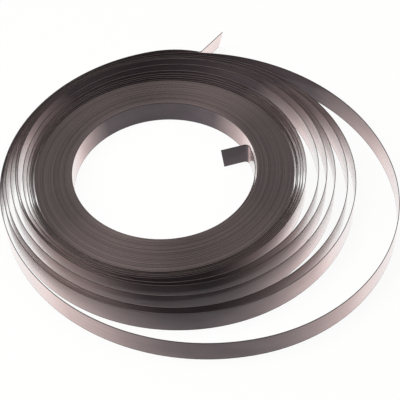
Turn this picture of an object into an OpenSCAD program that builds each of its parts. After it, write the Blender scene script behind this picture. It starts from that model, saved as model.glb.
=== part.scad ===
// Coil of steel banding: one flat steel strip, tightly wound round a bore,
// with the last turns sprung open and both ends bent out of the winding.
// Millimetres, lying flat on the floor at z = 0, +Z up, +Y to the back.
// The winding runs clockwise outwards, seen from above.

/* [Band] */
// Width of the band, which is the height of the coil as it lies
band_w = 19; // [12:0.5:32]
// Thickness of the band
band_t = 0.5; // [0.4:0.05:0.8]

/* [Tight roll] */
// Diameter of the bore through the roll
bore_d = 140; // [110:1:200]
// Turns that lie tight on each other
tight_turns = 57; // [30:1:80]
// How far a tight turn may stand up from the floor, which shows the turns on both ends
turn_shift = 0.2; // [0.1:0.02:0.4]

/* [Loose turns] */
// Clear gap under each loose turn on the right, from the roll outwards
gap_right = [1.2, 0.7, 1.7, 1.6, 2.1, 9.1, 5.8, 4.4, 7.5, 4.8, 25.7];
// The same gaps at the front
gap_front = [2.5, 0.6, 0.4, 0.6, 0.9, 4.3, 3.1, 8.5, 10.4, 5.6, 28.7];
// The same gaps on the left, where the outer turns lie bunched
gap_left = [1.4, 0.5, 0.8, 1.4, 2.4, 3.1, 1.1, 3.5, 3.6, 1.9, 2.3];
// The same gaps at the back
gap_back = [0.5, 1.6, 1.8, 2.9, 6.4, 6.3, 0.7, 0.7, 0.7, 1.4, 3.8];
// Turn of those four sides from the +X, -Y, -X and +Y axes
side_turn = 10; // [-20:1:40]

/* [Outer end] */
// How far the outer end runs on round the back before it bends away
outer_run = 28; // [20:1:34]
// Radius of that run
outer_run_r = 78; // [70:1:100]
// Angle of the bend
outer_bend = 69; // [20:1:80]
// Inside radius of the bend
outer_bend_r = 3; // [2:0.5:8]
// Straight length past the bend
outer_len = 28; // [10:1:60]

/* [Inner end] */
// Direction on the bore at which the inner end bends inwards
inner_at = 15; // [0:1:40]
// Angle of the bend
inner_bend = 90; // [60:1:110]
// Inside radius of the bend
inner_bend_r = 3.5; // [3:0.5:12]
// Straight length past the bend
inner_len = 18.5; // [8:0.5:30]
// Clear gap behind the first turn where it leaves the bend
inner_gap = 1.2; // [0.8:0.1:2]
// How far round the bore that gap runs before it closes
inner_run = 72; // [40:2:120]

/* [Hidden] */
// How far a turn is sunk into the roll where the two join
join = 0.2;
// Angle of one straight step where a bend or an end run is drawn in steps
fine_step = 8;
$fn = 180;
bore_r = bore_d / 2;
roll_r = bore_r + tight_turns * band_t;
loose_turns = len(gap_right);

// Unit vector at an angle
function dir(a) = [cos(a), sin(a)];

// Side n of the winding, exact along an axis: right, front, left and back in turn
function side(n) = [[1, 0], [0, -1], [-1, 0], [0, 1]][n % 4];

// Sum of the first n values of a list
function sum_to(v, n) = n <= 0 ? 0 : v[n - 1] + sum_to(v, n - 1);

// Reach of the band's outer face at side n; sides 0 to 3 still lie on the roll
lift = roll_r + band_t - join;
function gaps(n) = [gap_right, gap_front, gap_left, gap_back][n % 4];
function reach(n) =
    n < 4 ? lift
    : let(k = floor(n / 4), start = n % 4 == 3 ? lift : roll_r)
        start + k * band_t + sum_to(gaps(n), k);

// Radius of the quarter turn from side n to side n + 1. Two quarters that follow each other span
// the width between the sides before and after them, so each is tangent to the next.
function quarter_r(n) = n < 3 ? lift : reach(n - 1) + reach(n + 1) - quarter_r(n - 1);

// Centre of that quarter turn
function quarter_c(n) =
    let(r = quarter_r(n))
    side(n) * (reach(n) - r) + side(n + 1) * (reach(n + 1) - r);

// Path of a bend that starts at p with heading h and turns left by angle a, or right if a is negative
function bend_path(p, h, a, r) =
    let(s = sign(a), c = p + r * s * dir(h + 90), n = ceil(abs(a) / fine_step))
    [for (i = [1:n]) c - r * s * dir(h + a * i / n + 90)];

// Left-hand normal of a path at point i
function path_normal(p, i) =
    let(d = p[min(i + 1, len(p) - 1)] - p[max(i - 1, 0)])
    [-d[1], d[0]] / norm(d);

// Outline of a band whose middle follows a path
function band_outline(p) = concat(
    [for (i = [0:len(p) - 1]) p[i] + path_normal(p, i) * band_t / 2],
    [for (i = [len(p) - 1:-1:0]) p[i] - path_normal(p, i) * band_t / 2]
);

// Outer end: starts square on the last quarter turn, runs on, then bends away
first_n = 3;
last_n = 4 * loose_turns + 2;
end_p = [quarter_c(last_n)[0], reach(last_n + 1) - band_t / 2];
run_path = bend_path(end_p, 0, -outer_run, outer_run_r);
outer_corner = bend_path(run_path[len(run_path) - 1], -outer_run, outer_bend, outer_bend_r + band_t / 2);
outer_h = outer_bend - outer_run;
outer_tip = outer_corner[len(outer_corner) - 1] + outer_len * dir(outer_h);
outer_path = concat([end_p], [end_p + [band_t, 0]], run_path, outer_corner, [outer_tip]);

// Inner end: a straight tab, a bend, then along the bore until it sinks into the roll
inner_steps = ceil(inner_run / fine_step) * 2;
inner_arc = [
    for (i = [0:inner_steps])
        let(f = i / inner_steps)
        (bore_r - (1 - f) * inner_gap - band_t / 2 + f * join) * dir(inner_at - inner_run * f)
];
inner_h = inner_at + 90;
inner_corner = bend_path(inner_arc[0], inner_h, inner_bend, inner_bend_r + band_t / 2);
inner_tip = inner_corner[len(inner_corner) - 1] + inner_len * dir(inner_h + inner_bend);
inner_path = concat([inner_tip], [for (i = [len(inner_corner) - 1:-1:0]) inner_corner[i]], inner_arc);

// The part's origin is the middle of its footprint
function arc_reach(n, a) = quarter_c(n) * dir(a) + quarter_r(n);
tip_edge = band_outline(outer_path);
tip_y = max([for (p = tip_edge) p * dir(90 - side_turn)]);
box_right = arc_reach(last_n - 2, -side_turn);
box_front = arc_reach(last_n - 1, -90 - side_turn);
box_left = arc_reach(last_n, 180 - side_turn);
middle = [(box_right - box_left) / 2, (tip_y - box_front) / 2];

// Half section of the tight roll: the turns stand a little up or down, so each shows on both ends
module roll_section() {
    top = [
        for (i = [0:tight_turns - 1])
            let(r = bore_r + i * band_t, z = band_w + turn_shift * (i * 2 % 5) / 4)
            each [[r, z], [r + band_t, z]]
    ];
    bottom = [for (i = [len(top) - 1:-1:0]) [top[i][0], top[i][1] - band_w]];
    polygon(concat(top, bottom));
}

module tight_roll() {
    rotate_extrude() roll_section();
}

// One quarter turn of the band, from side n to side n + 1
module quarter_turn(n) {
    r = quarter_r(n);
    translate(quarter_c(n))
        rotate(-90 * (n + 1))
        rotate_extrude(angle = 90)
        translate([r - band_t, 0]) square([band_t, band_w]);
}

module loose_winding() {
    for (n = [first_n:last_n]) quarter_turn(n);
    linear_extrude(band_w) polygon(band_outline(outer_path));
}

module inner_end() {
    linear_extrude(band_w) polygon(band_outline(inner_path));
}

module steel_band() {
    color([0.42, 0.39, 0.4])
        translate([-middle[0], -middle[1], 0])
        union() {
            tight_roll();
            rotate(side_turn) loose_winding();
            inner_end();
        }
}

steel_band();
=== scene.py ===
import math

import bpy
import numpy as np
from mathutils import Matrix, Vector


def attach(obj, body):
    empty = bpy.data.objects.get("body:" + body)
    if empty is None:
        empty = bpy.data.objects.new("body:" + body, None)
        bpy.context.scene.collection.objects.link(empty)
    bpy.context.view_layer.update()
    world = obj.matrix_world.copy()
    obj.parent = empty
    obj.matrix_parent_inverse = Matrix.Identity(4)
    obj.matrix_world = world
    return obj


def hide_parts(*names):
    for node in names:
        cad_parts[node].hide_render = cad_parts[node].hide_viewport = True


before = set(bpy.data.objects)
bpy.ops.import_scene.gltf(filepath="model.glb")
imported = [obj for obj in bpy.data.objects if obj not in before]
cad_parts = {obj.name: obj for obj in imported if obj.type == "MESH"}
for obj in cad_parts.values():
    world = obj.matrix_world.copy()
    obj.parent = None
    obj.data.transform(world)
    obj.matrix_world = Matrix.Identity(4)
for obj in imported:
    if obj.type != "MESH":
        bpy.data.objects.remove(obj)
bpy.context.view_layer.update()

bl_info = {
    "name": "Coil of steel banding",
    "version": (1, 0, 0),
    "blender": (4, 5, 0),
    "location": "View3D > Sidebar > Banding",
    "description": "One continuous steel band, wound tight, with its outer turns sprung open",
    "category": "Object",
}

MM = 0.001
SEED = 19

# Steps of the band's path: points in a tight turn, in a loose quarter turn, in the inner tab
# and in the outer tip, and the angles between points of the bends and runs, in degrees
TURN_STEPS = 120
QUARTER_STEPS = 45
TAB_STEPS = 7
TIP_STEPS = 9
BEND_STEP = 4.0
INNER_RUN_STEP = 3.0
OUTER_RUN_STEP = 2.0

# How far the first loose turn is sunk into the roll where the two join, in mm
JOIN = 0.2
# Tight turns that lie round before the outer ones lean, how far the last one leans back, in mm,
# and the direction of the lean, in degrees
ROUND_TURNS = 10.0
LEAN_BACK = 1.1
LEAN_TO = 275.0
# How much thinner or thicker than the band a tight turn may be drawn, in mm
THINNER = 0.07
THICKER = 0.05
# Turns over which the roll's turns take up their shift and lose it again
SETTLE_TURNS = 0.6
# Shift of the turns: its middle, then share, waves in a turn and start of each wave
RISE_MIDDLE = 0.5
RISE_WAVES = ((0.32, 0.382, 0.0), (0.18, 0.171, 1.3))
# Share of the outer end over which its lean grows
TAIL_EASE = 0.6

# Corners of the band's section, and the finish of each side that follows a corner:
# 0 is a rolled face, 1 is a slit edge or its worn corner
CORNERS = 8
SIDE_FINISH = (0, 1, 1, 1, 0, 1, 1, 1)
SHARP_ANGLE = math.radians(30)
BAND_UV = "band"
# Tone along the band: length in mm and share of each wave
TONE_WAVES = ((90.0, 0.3), (230.0, 0.4), (610.0, 0.3))

# Noises of the finishes: scale across and along the band, detail and roughness
LINES = ((1400.0, 9.0, 1.0), 4.0, 0.6)
STAINS = ((60.0, 22.0, 1.0), 4.0, 0.55)
SPECKS = ((420.0, 420.0, 1.0), 2.0, 0.5)
NICKS = ((900.0, 260.0, 1.0), 3.0, 0.6)
# Spans of a noise or of the tone over which an effect grows
FULL = (0.0, 1.0)
MIDDLE = (0.25, 0.75)
MOST = (0.2, 0.8)
STAIN_SPAN = (0.42, 0.66)
STAIN_ROUGH_SPAN = (0.3, 0.7)
SPECK_SPAN = (0.74, 0.80)
# What those spans do: share of a colour, factor on a colour, change of roughness, level of gloss
STAIN_SHARE = (0.0, 0.8)
SPECK_SHARE = (0.0, 0.6)
LINE_SHADE = (0.86, 1.12)
TONE_SHADE = (0.9, 1.1)
EDGE_TONES = (0.6, 1.4)
NICK_SHADE = (0.82, 1.16)
LINE_ROUGH = (-0.05, 0.05)
STAIN_ROUGH = (-0.04, 0.05)
NICK_ROUGH = (-0.08, 0.08)
EDGE_GLOSS = (0.5, 0.9)
# Strength and depth of the rolling lines, the depth in metres
LINE_BUMP = 0.12
LINE_DEPTH = 0.00004
# Half the width over which the slit line fades, in mm
SLIT_SOFT = 0.15

# Stage, in metres: half the floor's side, its drop below the coil and the lamps' distance
FLOOR_HALF = 30.0
FLOOR_DROP = 0.0001
LAMP_AWAY = 0.95
# Span of a direction's Y over which the grey room turns to the white backdrop
BACK_SPAN = (-0.1, 0.4)
WHITE = (1.0, 1.0, 1.0, 1.0)
# Camera: width of the sensor in mm, nearest and farthest distance in metres
SENSOR = 36.0
CLIP_NEAR = 0.01
CLIP_FAR = 100.0


class BandingSizes(bpy.types.PropertyGroup):
    """Sizes of the band and of its winding, in millimetres as in the part's source."""

    band_w: bpy.props.FloatProperty(
        name="Band width", description="Height of the coil as it lies, in mm", default=19.0)
    band_t: bpy.props.FloatProperty(
        name="Band thickness", description="Thickness of a loose turn, in mm", default=0.5)
    bore_d: bpy.props.FloatProperty(
        name="Bore", description="Diameter of the bore through the roll, in mm", default=140.0)
    tight_turns: bpy.props.IntProperty(
        name="Tight turns", description="Turns that lie tight on each other", default=57)
    turn_shift: bpy.props.FloatProperty(
        name="Turn shift", description="How far a tight turn may stand up, in mm", default=0.2)
    hairline: bpy.props.FloatProperty(
        name="Hairline", description="Air between two tight turns, in mm", default=0.02)
    roll_lean: bpy.props.FloatProperty(
        name="Roll lean", description="How far the outer tight turns lie to the front, in mm", default=2.3)
    gap_right: bpy.props.FloatVectorProperty(
        name="Gaps on the right", description="Clear gap under each loose turn, in mm", size=11,
        default=(1.2, 0.7, 1.7, 1.6, 2.1, 9.1, 5.8, 4.4, 7.5, 4.8, 25.7))
    gap_front: bpy.props.FloatVectorProperty(
        name="Gaps at the front", description="Clear gap under each loose turn, in mm", size=11,
        default=(2.5, 0.6, 0.4, 0.6, 0.9, 4.3, 3.1, 8.5, 10.4, 5.6, 28.7))
    gap_left: bpy.props.FloatVectorProperty(
        name="Gaps on the left", description="Clear gap under each loose turn, in mm", size=11,
        default=(1.4, 0.5, 0.8, 1.4, 2.4, 3.1, 1.1, 3.5, 3.6, 1.9, 2.3))
    gap_back: bpy.props.FloatVectorProperty(
        name="Gaps at the back", description="Clear gap under each loose turn, in mm", size=11,
        default=(0.5, 1.6, 1.8, 2.9, 6.4, 6.3, 0.7, 0.7, 0.7, 1.4, 3.8))
    side_turn: bpy.props.FloatProperty(
        name="Side turn", description="Turn of the four sides from the axes, in degrees", default=10.0)
    outer_run: bpy.props.FloatProperty(
        name="Outer run", description="Angle the outer end runs on before its bend, in degrees",
        default=28.0)
    outer_run_r: bpy.props.FloatProperty(
        name="Outer run radius", description="Radius of that run, in mm", default=78.0)
    outer_bend: bpy.props.FloatProperty(
        name="Outer bend", description="Angle of the outer end's bend, in degrees", default=69.0)
    outer_bend_r: bpy.props.FloatProperty(
        name="Outer bend radius", description="Inside radius of that bend, in mm", default=3.0)
    outer_len: bpy.props.FloatProperty(
        name="Outer end length", description="Straight length past the bend, in mm", default=28.0)
    inner_at: bpy.props.FloatProperty(
        name="Inner bend place", description="Direction on the bore of the inner bend, in degrees",
        default=15.0)
    inner_bend: bpy.props.FloatProperty(
        name="Inner bend", description="Angle of the inner end's bend, in degrees", default=90.0)
    inner_bend_r: bpy.props.FloatProperty(
        name="Inner bend radius", description="Inside radius of that bend, in mm", default=3.5)
    inner_len: bpy.props.FloatProperty(
        name="Inner end length", description="Straight length past the bend, in mm", default=18.5)
    inner_gap: bpy.props.FloatProperty(
        name="Inner gap", description="Clear gap behind the first turn at its bend, in mm", default=1.2)
    inner_run: bpy.props.FloatProperty(
        name="Inner run", description="Angle round the bore until that gap closes, in degrees",
        default=72.0)
    corner: bpy.props.FloatProperty(
        name="Corner", description="Worn corner along the slit edges, in mm", default=0.03)
    tip_slant: bpy.props.FloatProperty(
        name="Tip slant", description="How far the inner tip's cut is off square, in mm", default=2.4)
    tail_lean: bpy.props.FloatProperty(
        name="Tail lean", description="How far the outer tail's foot swings back, in mm", default=4.5)


class BandingFinish(bpy.types.PropertyGroup):
    """Colours and gloss of the rolled faces and of the slit edges, with a painted sheen on the rolled
    faces.
    """

    face_color: bpy.props.FloatVectorProperty(
        name="Rolled face", description="Colour of the rolled faces", subtype="COLOR",
        size=3, min=0.0, max=1.0, default=(0.125, 0.098, 0.109))
    stain_color: bpy.props.FloatVectorProperty(
        name="Stain", description="Colour of the bluish rolling stains", subtype="COLOR",
        size=3, min=0.0, max=1.0, default=(0.099, 0.079, 0.095))
    speck_color: bpy.props.FloatVectorProperty(
        name="Speck", description="Colour of the small dark specks", subtype="COLOR",
        size=3, min=0.0, max=1.0, default=(0.045, 0.036, 0.034))
    face_roughness: bpy.props.FloatProperty(
        name="Face roughness", description="Mean roughness of the rolled faces", subtype="FACTOR",
        min=0.0, max=1.0, default=0.43)
    # Painted sheen: the rolled faces' colour is painted lighter at shallow viewing angles, and near white
    # seen almost edge-on, standing in for reflected light
    painted_sheen_color: bpy.props.FloatVectorProperty(
        name="Sheen", description="Gloss of the rolled faces at a shallow angle", subtype="COLOR",
        size=3, min=0.0, max=1.0, default=(0.92, 0.70, 0.675))
    painted_sheen_span: bpy.props.FloatVectorProperty(
        name="Sheen span", description="Facing at which the sheen starts and is full",
        size=2, default=(0.41, 0.70))
    painted_skim_color: bpy.props.FloatVectorProperty(
        name="Skimming sheen", description="Gloss of the rolled faces seen almost edge-on",
        subtype="COLOR", size=3, min=0.0, max=1.0, default=(1.0, 0.90, 0.89))
    painted_skim_span: bpy.props.FloatVectorProperty(
        name="Skimming span", description="Facing at which the skimming sheen starts and is full",
        size=2, default=(0.62, 0.84))
    skim_smooth: bpy.props.FloatProperty(
        name="Skimming roughness", description="Share of the roughness left at a skimming angle",
        subtype="FACTOR", min=0.0, max=1.0, default=0.5)
    smooth_span: bpy.props.FloatVectorProperty(
        name="Smooth span", description="Facing at which the roughness starts to fall and stops",
        size=2, default=(0.42, 0.78))
    wax_weight: bpy.props.FloatProperty(
        name="Wax", description="Cover of the thin wax film on the rolled faces", subtype="FACTOR",
        min=0.0, max=1.0, default=0.45)
    wax_roughness: bpy.props.FloatProperty(
        name="Wax roughness", description="Roughness of that film", subtype="FACTOR",
        min=0.0, max=1.0, default=0.12)
    wax_ior: bpy.props.FloatProperty(
        name="Wax IOR", description="Index of refraction of that film", default=1.5)
    edge_color: bpy.props.FloatVectorProperty(
        name="Slit edge", description="Colour of the slit edges", subtype="COLOR",
        size=3, min=0.0, max=1.0, default=(0.0265, 0.0215, 0.022))
    edge_tint: bpy.props.FloatVectorProperty(
        name="Edge gloss", description="Tint of the gloss on the slit edges", subtype="COLOR",
        size=3, min=0.0, max=1.0, default=(1.0, 0.8, 0.8))
    edge_ior: bpy.props.FloatProperty(
        name="Edge IOR", description="Index of refraction of the oily slit edges", default=1.6)
    edge_roughness: bpy.props.FloatProperty(
        name="Edge roughness", description="Mean roughness of the slit edges", subtype="FACTOR",
        min=0.0, max=1.0, default=0.5)
    loose_edge: bpy.props.FloatProperty(
        name="Loose edges", description="Edge brightness of the unscuffed loose turns", subtype="FACTOR",
        min=0.0, max=1.0, default=0.4)
    slit_line: bpy.props.FloatProperty(
        name="Slit line", description="Width of the dark line along a face's edges, in mm", default=0.55)
    slit_dark: bpy.props.FloatProperty(
        name="Slit line strength", description="How far that line takes the edges' colour",
        subtype="FACTOR", min=0.0, max=1.0, default=0.9)


class BandingStage(bpy.types.PropertyGroup):
    """Floor, lights and camera."""

    floor_color: bpy.props.FloatVectorProperty(
        name="Floor", description="Colour of the floor", subtype="COLOR",
        size=3, min=0.0, max=1.0, default=(0.93, 0.93, 0.94))
    floor_white: bpy.props.FloatProperty(
        name="Floor white", description="Share of plain white in the floor as seen", subtype="FACTOR",
        min=0.0, max=1.0, default=0.92)
    room: bpy.props.FloatProperty(
        name="Room light", description="Strength of the even grey room", default=0.1)
    backdrop: bpy.props.FloatProperty(
        name="Backdrop", description="Strength of the white backdrop behind, where 1 is white",
        subtype="FACTOR", min=0.0, max=1.0, default=0.95)
    left_light: bpy.props.FloatProperty(
        name="Left light", description="Brightness of the left softbox's face", default=3.4)
    right_light: bpy.props.FloatProperty(
        name="Right light", description="Brightness of the right softbox's face", default=1.6)
    back_light: bpy.props.FloatProperty(
        name="Back light", description="Brightness of the back softbox's face", default=0.65)
    left_from: bpy.props.FloatProperty(
        name="Left from", description="Direction of the left softbox", subtype="ANGLE",
        default=math.radians(195))
    right_from: bpy.props.FloatProperty(
        name="Right from", description="Direction of the right softbox", subtype="ANGLE",
        default=math.radians(-8))
    back_from: bpy.props.FloatProperty(
        name="Back from", description="Direction of the back softbox", subtype="ANGLE",
        default=math.radians(101))
    lamp_up: bpy.props.FloatProperty(
        name="Lamps up", description="How high the softboxes stand", subtype="ANGLE",
        default=math.radians(62))
    lamp_size: bpy.props.FloatVectorProperty(
        name="Lamp size", description="Width and height of a softbox", unit="LENGTH",
        size=2, default=(0.75, 0.95))
    lamp_color: bpy.props.FloatVectorProperty(
        name="Lamps", description="Colour of the lamps", subtype="COLOR",
        size=3, min=0.0, max=1.0, default=(1.0, 0.97, 0.92))
    lens: bpy.props.FloatProperty(
        name="Lens", description="Focal length on a 36 mm sensor, in mm", unit="CAMERA", default=117.0)
    camera_at: bpy.props.FloatVectorProperty(
        name="Camera", description="Place of the camera", subtype="TRANSLATION", unit="LENGTH",
        size=3, default=(0.00119, -0.6646, 0.744586))
    camera_pitch: bpy.props.FloatProperty(
        name="Pitch", description="How far the camera looks down", subtype="ANGLE", default=0.850694)
    camera_roll: bpy.props.FloatProperty(
        name="Roll", description="Roll of the camera about its view", subtype="ANGLE", default=-0.045062)


# The band's path

SIDES = np.array([[1.0, 0.0], [0.0, -1.0], [-1.0, 0.0], [0.0, 1.0]])


def unit(angle):
    """Unit vector at an angle in degrees."""
    a = np.radians(angle)
    return np.stack([np.cos(a), np.sin(a)], axis=-1)


def ease(share):
    """Smooth step from 0 to 1."""
    share = np.clip(share, 0.0, 1.0)
    return share * share * (3.0 - 2.0 * share)


def turned(points, angle):
    """Points turned about the bore's axis."""
    c = math.cos(math.radians(angle))
    s = math.sin(math.radians(angle))
    return points @ np.array([[c, s], [-s, c]])


def bend(start, heading, angle, radius, step=BEND_STEP):
    """Points of a bend that turns left by an angle, or right if it is negative."""
    sign = math.copysign(1.0, angle)
    centre = start + radius * sign * unit(heading + 90.0)
    count = max(2, math.ceil(abs(angle) / step))
    turn = heading + angle * np.arange(1, count + 1) / count
    return centre - radius * sign * unit(turn + 90.0)


def roll_radius(sizes):
    """Outer radius of the tight roll."""
    return sizes.bore_d / 2 + sizes.tight_turns * sizes.band_t


class Winding:
    """The loose turns as quarter turns, each tangent to the next, as in the part's source."""

    def __init__(self, sizes):
        self.roll_r = roll_radius(sizes)
        self.lift = self.roll_r + sizes.band_t - JOIN
        self.band_t = sizes.band_t
        sides = (sizes.gap_right, sizes.gap_front, sizes.gap_left, sizes.gap_back)
        self.gaps = [list(gaps) for gaps in sides]
        self.first = 3
        self.last = 4 * len(self.gaps[0]) + 2
        self.radii = [self.lift] * self.first
        for n in range(self.first, self.last + 1):
            self.radii.append(self.reach(n - 1) + self.reach(n + 1) - self.radii[n - 1])

    def reach(self, n):
        """Reach of the band's outer face at side n; sides 0 to 3 still lie on the roll."""
        if n < 4:
            return self.lift
        turn = n // 4
        start = self.lift if n % 4 == 3 else self.roll_r
        return start + turn * self.band_t + sum(self.gaps[n % 4][:turn])

    def centre(self, n):
        """Centre of the quarter turn from side n to side n + 1."""
        r = self.radii[n]
        return SIDES[n % 4] * (self.reach(n) - r) + SIDES[(n + 1) % 4] * (self.reach(n + 1) - r)

    def quarter(self, n):
        """Middle line of quarter turn n, without its first point."""
        angle = -90.0 * n - 90.0 * np.arange(1, QUARTER_STEPS + 1) / QUARTER_STEPS
        return self.centre(n) + (self.radii[n] - self.band_t / 2) * unit(angle)


def inner_end(sizes):
    """Tip, bend and the run along the bore, up to where the first tight turn begins."""
    bore_r = sizes.bore_d / 2
    count = round(sizes.inner_run / INNER_RUN_STEP)
    share = np.arange(count + 1) / count
    closing = (1.0 - share) * (sizes.inner_gap + sizes.band_t / 2) - share * sizes.band_t / 2
    run = (bore_r - closing)[:, None] * unit(sizes.inner_at - sizes.inner_run * share)
    heading = sizes.inner_at + 90.0
    corner = bend(run[0], heading, sizes.inner_bend, sizes.inner_bend_r + sizes.band_t / 2)
    along = np.linspace(sizes.inner_len, 0.0, TAB_STEPS + 1)[:-1]
    tab = corner[-1] + along[:, None] * unit(heading + sizes.inner_bend)
    return np.concatenate([tab, corner[::-1], run])


def tight_turn_count(sizes):
    """Turns of the roll's spiral, which ends where the first loose quarter turn begins."""
    start = sizes.inner_at - sizes.inner_run
    end = 90.0 + sizes.side_turn
    return sizes.tight_turns - 1 + ((start - end) % 360.0) / 360.0


def tight_turn_path(sizes, turns):
    """Points of the roll's spiral after numbers of turns from the end of the inner run."""
    start_r = sizes.bore_d / 2 + sizes.band_t / 2
    end_r = roll_radius(sizes) + sizes.band_t / 2 - JOIN
    whole = tight_turn_count(sizes)
    r = start_r + (end_r - start_r) * turns / whole
    leaning = np.clip((turns - ROUND_TURNS) / (whole - 1.0 - ROUND_TURNS), 0.0, 1.0)
    lean = sizes.roll_lean * leaning - LEAN_BACK * ease(turns - (whole - 1.0))
    angle = sizes.inner_at - sizes.inner_run - 360.0 * turns
    return r[:, None] * unit(angle) + lean[:, None] * unit(LEAN_TO)


def tight_turn_thickness(sizes, turns, tight):
    """Thickness of the tight turns, which fills the spiral's pitch up to a hairline of air."""
    inside = np.linalg.norm(tight - tight_turn_path(sizes, turns - 1.0), axis=1)
    outside = np.linalg.norm(tight_turn_path(sizes, turns + 1.0) - tight, axis=1)
    pitch = np.minimum(inside, outside)
    return np.clip(pitch - sizes.hairline, sizes.band_t - THINNER, sizes.band_t + THICKER)


def turn_rise(turns):
    """How far the tight turns stand up, as a share of the turn shift."""
    rise = np.full(len(turns), RISE_MIDDLE)
    for share, rate, start in RISE_WAVES:
        rise += share * np.sin(turns * 2.0 * math.pi * rate + start)
    return rise


def sprung_turns(sizes, winding):
    """The loose turns, the first of which leaves the roll's spiral smoothly."""
    sprung = np.concatenate([winding.quarter(n) for n in range(winding.first, winding.last + 1)])
    sprung = turned(sprung, sizes.side_turn)
    share = np.arange(1, QUARTER_STEPS + 1) / QUARTER_STEPS
    spiral = tight_turn_path(sizes, tight_turn_count(sizes) + share / 4.0)
    sprung[:QUARTER_STEPS] = spiral + (sprung[:QUARTER_STEPS] - spiral) * ease(share)[:, None]
    return sprung


def outer_end(sizes, winding):
    """The run past the last quarter turn, the bend and the straight tip."""
    n = winding.last
    start = np.array([winding.centre(n)[0], winding.reach(n + 1) - sizes.band_t / 2])
    run = bend(start, 0.0, -sizes.outer_run, sizes.outer_run_r, OUTER_RUN_STEP)
    corner = bend(run[-1], -sizes.outer_run, sizes.outer_bend, sizes.outer_bend_r + sizes.band_t / 2)
    along = np.linspace(0.0, sizes.outer_len, TIP_STEPS + 1)[1:]
    tip = corner[-1] + along[:, None] * unit(sizes.outer_bend - sizes.outer_run)
    return np.concatenate([run, corner, tip])


def band_path(sizes):
    """Middle line of the whole band, from inner to outer tip, with the values at its points:
    thickness, lift, slant of the inner tip, lean of the outer tail and looseness."""
    winding = Winding(sizes)
    inner = inner_end(sizes)
    whole = tight_turn_count(sizes)
    steps = round(whole * TURN_STEPS)
    turns = whole * np.arange(1, steps + 1) / steps
    tight = tight_turn_path(sizes, turns)
    sprung = sprung_turns(sizes, winding)
    tail = turned(outer_end(sizes, winding), sizes.side_turn)
    path = np.concatenate([inner, tight, sprung, tail])

    roll = slice(len(inner), len(inner) + len(tight))
    settle = ease(np.minimum(turns, whole - turns) / SETTLE_TURNS)
    thick = np.full(len(path), sizes.band_t)
    thick[roll] = tight_turn_thickness(sizes, turns, tight)
    lift = np.zeros(len(path))
    lift[roll] = sizes.turn_shift * turn_rise(turns) * settle
    loose = np.ones(len(path))
    loose[roll] = 1.0 - settle

    slant = np.zeros(len(path))
    reach = np.linalg.norm(path[:TAB_STEPS + 1] - path[TAB_STEPS], axis=1)
    slant[:TAB_STEPS + 1] = sizes.tip_slant * reach / reach[0]
    lean = np.zeros(len(path))
    run = len(tail) - 1
    lean[-run:] = sizes.tail_lean * ease(np.arange(1, run + 1) / (run * TAIL_EASE))
    return path, thick, lift, slant, lean, loose


# The band's mesh

def band_rings(sizes, path, thick, lift, slant, lean):
    """Corners of the band's section at each point of its path, about the middle of the footprint."""
    step = np.gradient(path, axis=0)
    step /= np.linalg.norm(step, axis=1)[:, None]
    normal = np.stack([-step[:, 1], step[:, 0]], axis=1)
    half = thick / 2
    c = sizes.corner
    w = sizes.band_w
    section = [(half, c), (half, w - c), (half - c, w), (c - half, w),
               (-half, w - c), (-half, c), (c - half, 0.0), (half - c, 0.0)]
    rings = np.empty((len(path), CORNERS, 3))
    for j, (side, height) in enumerate(section):
        low = 1.0 - height / w
        rings[:, j, :2] = path + normal * (side + lean * low)[:, None] + step * (slant * low)[:, None]
        rings[:, j, 2] = height + lift
    outline = np.concatenate([path + normal * half[:, None], path - normal * half[:, None]])
    middle = (outline.min(axis=0) + outline.max(axis=0)) / 2
    rings[:, :, :2] -= middle
    return rings


def band_faces(count):
    """Faces between the rings, and then the two cut ends."""
    ring = np.arange(count - 1)[:, None] * CORNERS
    here = np.arange(CORNERS)[None, :]
    after = (here + 1) % CORNERS
    corners = [ring + here, ring + CORNERS + here, ring + CORNERS + after, ring + after]
    sides = np.stack(corners, axis=-1).reshape(-1, 4)
    first = np.arange(CORNERS)
    last = (count - 1) * CORNERS + first[::-1]
    return sides.tolist() + [first.tolist(), last.tolist()]


def face_places(sizes):
    """Width of a rolled face and of a slit edge, and where the second face starts round the section."""
    face = sizes.band_w - 2.0 * sizes.corner
    flat = sizes.band_t - 2.0 * sizes.corner
    return face, flat, face + flat + 2.0 * math.sqrt(2.0) * sizes.corner


def band_places(sizes, length):
    """Place round the section and along the band of each corner of each face, in mm."""
    face, flat, _ = face_places(sizes)
    bevel = sizes.corner * math.sqrt(2.0)
    around = np.cumsum([0.0, face, bevel, flat, bevel, face, bevel, flat, bevel])
    low = around[:-1]
    high = around[1:]
    shape = (len(length) - 1, CORNERS, 4)
    across = np.broadcast_to(np.stack([low, low, high, high], axis=-1), shape)
    start = length[:-1, None]
    end = length[1:, None]
    along = np.broadcast_to(np.stack([start, end, end, start], axis=-1), shape)
    places = np.stack([across, along], axis=-1).reshape(-1, 2)
    ends = np.zeros((2 * CORNERS, 2))
    return np.concatenate([places, ends])


def shade_along(length, rng):
    """Slow, seeded change of tone along the band, 0 to 1."""
    tone = np.zeros(len(length))
    for wave, share in TONE_WAVES:
        knots = rng.random(int(length[-1] / wave) + 3)
        tone += share * np.interp(length / wave, np.arange(len(knots)), knots)
    return tone


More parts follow.
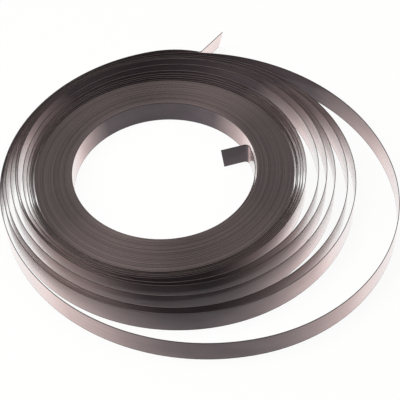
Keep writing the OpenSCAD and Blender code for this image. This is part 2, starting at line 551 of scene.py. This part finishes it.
def build_band(sizes):
    """Mesh of the band: an eight-cornered section swept along its path."""
    path, thick, lift, slant, lean, loose = band_path(sizes)
    count = len(path)
    rings = band_rings(sizes, path, thick, lift, slant, lean)
    mesh = bpy.data.meshes.new("band_strip")
    mesh.from_pydata((rings.reshape(-1, 3) * MM).tolist(), [], band_faces(count))

    slots = np.concatenate([np.tile(SIDE_FINISH, count - 1), [1, 1]]).astype(np.int32)
    mesh.polygons.foreach_set("material_index", slots)

    length = np.concatenate([[0.0], np.cumsum(np.linalg.norm(np.diff(path, axis=0), axis=1))])
    layer = mesh.uv_layers.new(name=BAND_UV)
    layer.uv.foreach_set("vector", (band_places(sizes, length) * MM).astype(np.float32).ravel())

    tone = shade_along(length, np.random.default_rng(SEED))
    for name, values in (("tone", tone), ("loose", loose)):
        layer = mesh.attributes.new(name, "FLOAT", "POINT")
        layer.data.foreach_set("value", np.repeat(values, CORNERS).astype(np.float32))

    mesh.validate()
    mesh.polygons.foreach_set("use_smooth", np.ones(len(mesh.polygons), dtype=bool))
    mesh.set_sharp_from_angle(angle=SHARP_ANGLE)
    return mesh


# Finishes

def add(tree, kind, inputs=None, **settings):
    """New node with its settings; an input is a value or another node's output."""
    node = tree.nodes.new(kind)
    for key, value in settings.items():
        setattr(node, key, value)
    for key, value in (inputs or {}).items():
        if isinstance(value, bpy.types.NodeSocket):
            tree.links.new(value, node.inputs[key])
        else:
            node.inputs[key].default_value = value
    return node


def opaque(color):
    """Colour of three values with full alpha."""
    return (*color, 1.0)


def worked(tree, operation, *values):
    """Output of a maths node."""
    return add(tree, "ShaderNodeMath", dict(enumerate(values)), operation=operation).outputs[0]


def ranged(tree, value, span, to):
    """Value mapped from one span to another."""
    return add(tree, "ShaderNodeMapRange", {
        "Value": value, "From Min": span[0], "From Max": span[1],
        "To Min": to[0], "To Max": to[1]}).outputs["Result"]


def mixed(tree, factor, a, b, blend_type="MIX"):
    """Colour output of a colour mix."""
    node = add(tree, "ShaderNodeMix", {0: factor, 6: a, 7: b}, data_type="RGBA", blend_type=blend_type)
    return node.outputs[2]


def shaded(tree, color, value, span, to):
    """Colour times a factor that follows a value."""
    factor = ranged(tree, value, span, to)
    grey = add(tree, "ShaderNodeCombineColor", {"Red": factor, "Green": factor, "Blue": factor})
    return mixed(tree, 1.0, color, grey.outputs["Color"], "MULTIPLY")


def noise_on(tree, uv, noise):
    """Noise stretched along the band."""
    scale, detail, roughness = noise
    place = add(tree, "ShaderNodeMapping", {"Vector": uv, "Scale": scale}).outputs["Vector"]
    return add(tree, "ShaderNodeTexNoise", {
        "Vector": place, "Scale": 1.0, "Detail": detail, "Roughness": roughness}).outputs["Fac"]


def value_of(tree, name):
    """Value that the mesh holds under a name."""
    return add(tree, "ShaderNodeAttribute", attribute_name=name).outputs["Fac"]


def around_value(value, change):
    """Span round a mean value."""
    return value + change[0], value + change[1]


def new_finish(name):
    """New material with its node tree and its shader."""
    mat = bpy.data.materials.new(name)
    mat.use_nodes = True
    return mat, mat.node_tree, mat.node_tree.nodes["Principled BSDF"]


def brushed_along(tree, bsdf):
    """Gloss that rolling or slitting along the band has stretched across it."""
    tangent = add(tree, "ShaderNodeTangent", direction_type="UV_MAP", uv_map=BAND_UV)
    tree.links.new(tangent.outputs["Tangent"], bsdf.inputs["Tangent"])
    bsdf.inputs["Anisotropic"].default_value = 1.0


def slit_line(tree, uv, finish, sizes):
    """Strength of the dark line along both edges of a face, 0 elsewhere."""
    face, _, back = face_places(sizes)
    across = add(tree, "ShaderNodeSeparateXYZ", {"Vector": uv}).outputs["X"]
    across = worked(tree, "WRAP", across, back * MM, 0.0)
    off = worked(tree, "ABSOLUTE", worked(tree, "SUBTRACT", across, face / 2 * MM))
    start = (face / 2 - finish.slit_line) * MM
    return ranged(tree, off, (start - SLIT_SOFT * MM, start + SLIT_SOFT * MM), (0.0, finish.slit_dark))


def rolled_face(finish, sizes):
    """Dark rolled steel under a thin wax film: rolling lines along it, bluish stains, a few specks, and a
    painted sheen that lightens the colour at shallow viewing angles.
    """
    mat, tree, bsdf = new_finish("rolled_face")
    uv = add(tree, "ShaderNodeUVMap", uv_map=BAND_UV).outputs["UV"]
    lines = noise_on(tree, uv, LINES)
    stains = noise_on(tree, uv, STAINS)
    specks = noise_on(tree, uv, SPECKS)
    facing = add(tree, "ShaderNodeLayerWeight").outputs["Facing"]

    stained = ranged(tree, stains, STAIN_SPAN, STAIN_SHARE)
    color = mixed(tree, stained, opaque(finish.face_color), opaque(finish.stain_color))
    # Painted sheen: the colour is painted lighter as the face is seen more edge-on, and near white at a
    # skimming angle
    sheen = ranged(tree, facing, finish.painted_sheen_span, FULL)
    color = mixed(tree, sheen, color, opaque(finish.painted_sheen_color))
    skim = ranged(tree, facing, finish.painted_skim_span, FULL)
    color = mixed(tree, skim, color, opaque(finish.painted_skim_color))
    color = shaded(tree, color, lines, MIDDLE, LINE_SHADE)
    color = shaded(tree, color, value_of(tree, "tone"), MOST, TONE_SHADE)
    specked = ranged(tree, specks, SPECK_SPAN, SPECK_SHARE)
    color = mixed(tree, specked, color, opaque(finish.speck_color))
    color = mixed(tree, slit_line(tree, uv, finish, sizes), color, opaque(finish.edge_color))
    tree.links.new(color, bsdf.inputs["Base Color"])

    lined = ranged(tree, lines, MOST, LINE_ROUGH)
    rough = ranged(tree, stains, STAIN_ROUGH_SPAN, around_value(finish.face_roughness, STAIN_ROUGH))
    smooth = ranged(tree, facing, finish.smooth_span, (1.0, finish.skim_smooth))
    rough = worked(tree, "MULTIPLY", worked(tree, "ADD", lined, rough), smooth)
    tree.links.new(rough, bsdf.inputs["Roughness"])
    bump = add(tree, "ShaderNodeBump", {"Height": lines, "Strength": LINE_BUMP, "Distance": LINE_DEPTH})
    tree.links.new(bump.outputs["Normal"], bsdf.inputs["Normal"])
    brushed_along(tree, bsdf)
    bsdf.inputs["Metallic"].default_value = 1.0
    bsdf.inputs["Coat Weight"].default_value = finish.wax_weight
    bsdf.inputs["Coat Roughness"].default_value = finish.wax_roughness
    bsdf.inputs["Coat IOR"].default_value = finish.wax_ior
    return mat


def slit_edge(finish):
    """Slit edges: brown-grey and oily, each turn a little lighter or darker than the next."""
    mat, tree, bsdf = new_finish("slit_edge")
    uv = add(tree, "ShaderNodeUVMap", uv_map=BAND_UV).outputs["UV"]
    nicks = noise_on(tree, uv, NICKS)
    tone = value_of(tree, "tone")
    color = shaded(tree, opaque(finish.edge_color), tone, MOST, EDGE_TONES)
    color = shaded(tree, color, nicks, MIDDLE, NICK_SHADE)
    # The loose turns' edges are drawn darker than the roll's, by the loose_edge factor
    color = shaded(tree, color, value_of(tree, "loose"), FULL, (1.0, finish.loose_edge))
    tree.links.new(color, bsdf.inputs["Base Color"])
    rough = ranged(tree, nicks, MOST, around_value(finish.edge_roughness, NICK_ROUGH))
    tree.links.new(rough, bsdf.inputs["Roughness"])
    gloss = ranged(tree, tone, MOST, EDGE_GLOSS)
    tree.links.new(gloss, bsdf.inputs["Specular IOR Level"])
    brushed_along(tree, bsdf)
    bsdf.inputs["IOR"].default_value = finish.edge_ior
    bsdf.inputs["Specular Tint"].default_value = opaque(finish.edge_tint)
    return mat


def as_seen(tree):
    """1 for what the camera, a reflection or a clear piece sees, 0 for light on a surface."""
    path = add(tree, "ShaderNodeLightPath")
    seen = worked(tree, "MAXIMUM", path.outputs["Is Camera Ray"], path.outputs["Is Glossy Ray"])
    return worked(tree, "MAXIMUM", seen, path.outputs["Is Transmission Ray"])


def floor_finish(stage):
    """Pale floor that is nearly white to the camera and in reflections, and keeps a faint shadow."""
    mat, tree, bsdf = new_finish("studio_floor")
    tree.nodes.remove(bsdf)
    paint = add(tree, "ShaderNodeBsdfDiffuse", {"Color": opaque(stage.floor_color)})
    glow = add(tree, "ShaderNodeEmission", {"Color": WHITE, "Strength": 1.0})
    share = worked(tree, "MULTIPLY", as_seen(tree), stage.floor_white)
    mix = add(tree, "ShaderNodeMixShader", {0: share, 1: paint.outputs[0], 2: glow.outputs[0]})
    tree.links.new(mix.outputs[0], tree.nodes["Material Output"].inputs["Surface"])
    return mat


def white_room(stage):
    """Even grey room whose back shows as a white backdrop to the camera and in reflections."""
    world = bpy.data.worlds.new("room")
    world.use_nodes = True
    tree = world.node_tree
    direction = add(tree, "ShaderNodeTexCoord").outputs["Generated"]
    back = add(tree, "ShaderNodeSeparateXYZ", {"Vector": direction}).outputs["Y"]
    white = ranged(tree, back, BACK_SPAN, (stage.room, stage.backdrop))
    level = add(tree, "ShaderNodeMix", {0: as_seen(tree), 2: stage.room, 3: white}, data_type="FLOAT")
    background = tree.nodes["Background"]
    background.inputs["Color"].default_value = WHITE
    tree.links.new(level.outputs[0], background.inputs["Strength"])
    return world


# Stage

def lay_floor(scene, stage):
    """Wide floor just under the coil."""
    half = FLOOR_HALF
    corners = [(-half, -half, 0.0), (half, -half, 0.0), (half, half, 0.0), (-half, half, 0.0)]
    mesh = bpy.data.meshes.new("floor")
    mesh.from_pydata(corners, [], [(0, 1, 2, 3)])
    mesh.materials.append(floor_finish(stage))
    floor = bpy.data.objects.new("floor", mesh)
    floor.location.z = -FLOOR_DROP
    scene.collection.objects.link(floor)


def hang_softbox(scene, stage, name, azimuth, radiance):
    """Area light that faces the coil from a direction, with an even radiance over its face."""
    width, height = stage.lamp_size
    data = bpy.data.lights.new(name, "AREA")
    data.shape = "RECTANGLE"
    data.size = width
    data.size_y = height
    data.energy = radiance * math.pi * width * height
    data.color = stage.lamp_color
    lamp = bpy.data.objects.new(name, data)
    lamp.visible_camera = False
    level = math.cos(stage.lamp_up)
    away = Vector((level * math.cos(azimuth), level * math.sin(azimuth), math.sin(stage.lamp_up)))
    lamp.location = LAMP_AWAY * away
    lamp.rotation_euler = away.to_track_quat("Z", "Y").to_euler()
    scene.collection.objects.link(lamp)


def place_camera(scene, stage):
    """Camera that looks down at the coil from the front."""
    data = bpy.data.cameras.new("camera")
    data.sensor_width = SENSOR
    data.lens = stage.lens
    data.clip_start = CLIP_NEAR
    data.clip_end = CLIP_FAR
    camera = bpy.data.objects.new("camera", data)
    pitch = stage.camera_pitch
    roll = stage.camera_roll
    right = Vector((1.0, 0.0, 0.0))
    ahead = Vector((0.0, math.cos(pitch), -math.sin(pitch)))
    up = Vector((0.0, math.sin(pitch), math.cos(pitch)))
    axis_x = math.cos(roll) * right + math.sin(roll) * up
    axis_y = -math.sin(roll) * right + math.cos(roll) * up
    turn = Matrix((axis_x, axis_y, -ahead)).transposed().to_4x4()
    camera.matrix_world = Matrix.Translation(Vector(stage.camera_at)) @ turn
    scene.collection.objects.link(camera)
    scene.camera = camera


# Operators and panel

class BANDING_OT_band(bpy.types.Operator):
    """Make the band as one continuous strip, from the inner tip to the outer tip"""

    bl_idname = "banding.band"
    bl_label = "Make the band"

    def execute(self, context):
        scene = context.scene
        mesh = build_band(scene.banding_sizes)
        mesh.materials.append(rolled_face(scene.banding_finish, scene.banding_sizes))
        mesh.materials.append(slit_edge(scene.banding_finish))
        strip = bpy.data.objects.new("band_strip", mesh)
        scene.collection.objects.link(strip)
        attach(strip, "root")
        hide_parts("steel_band")
        return {"FINISHED"}


class BANDING_OT_stage(bpy.types.Operator):
    """Make the floor, the lights and the camera"""

    bl_idname = "banding.stage"
    bl_label = "Make the stage"

    def execute(self, context):
        scene = context.scene
        stage = scene.banding_stage
        lay_floor(scene, stage)
        scene.world = white_room(stage)
        hang_softbox(scene, stage, "left", stage.left_from, stage.left_light)
        hang_softbox(scene, stage, "right", stage.right_from, stage.right_light)
        hang_softbox(scene, stage, "back", stage.back_from, stage.back_light)
        place_camera(scene, stage)
        scene.view_settings.view_transform = "Standard"
        return {"FINISHED"}


class BANDING_PT_panel(bpy.types.Panel):
    """Sizes, finish and stage of the coil"""

    bl_idname = "BANDING_PT_panel"
    bl_label = "Coil of banding"
    bl_space_type = "VIEW_3D"
    bl_region_type = "UI"
    bl_category = "Banding"

    def draw(self, context):
        scene = context.scene
        groups = (("Sizes", scene.banding_sizes), ("Finish", scene.banding_finish),
                  ("Stage", scene.banding_stage))
        for title, group in groups:
            box = self.layout.box()
            box.label(text=title)
            for name in group.bl_rna.properties.keys():
                if name not in ("rna_type", "name"):
                    box.prop(group, name)
        self.layout.operator(BANDING_OT_band.bl_idname)
        self.layout.operator(BANDING_OT_stage.bl_idname)


CLASSES = (BandingSizes, BandingFinish, BandingStage, BANDING_OT_band, BANDING_OT_stage, BANDING_PT_panel)


def register():
    for cls in CLASSES:
        bpy.utils.register_class(cls)
    bpy.types.Scene.banding_sizes = bpy.props.PointerProperty(type=BandingSizes)
    bpy.types.Scene.banding_finish = bpy.props.PointerProperty(type=BandingFinish)
    bpy.types.Scene.banding_stage = bpy.props.PointerProperty(type=BandingStage)


def unregister():
    del bpy.types.Scene.banding_stage
    del bpy.types.Scene.banding_finish
    del bpy.types.Scene.banding_sizes
    for cls in reversed(CLASSES):
        bpy.utils.unregister_class(cls)


def main():
    register()
    bpy.ops.banding.band()
    bpy.ops.banding.stage()


if __name__ == "__main__":
    main()
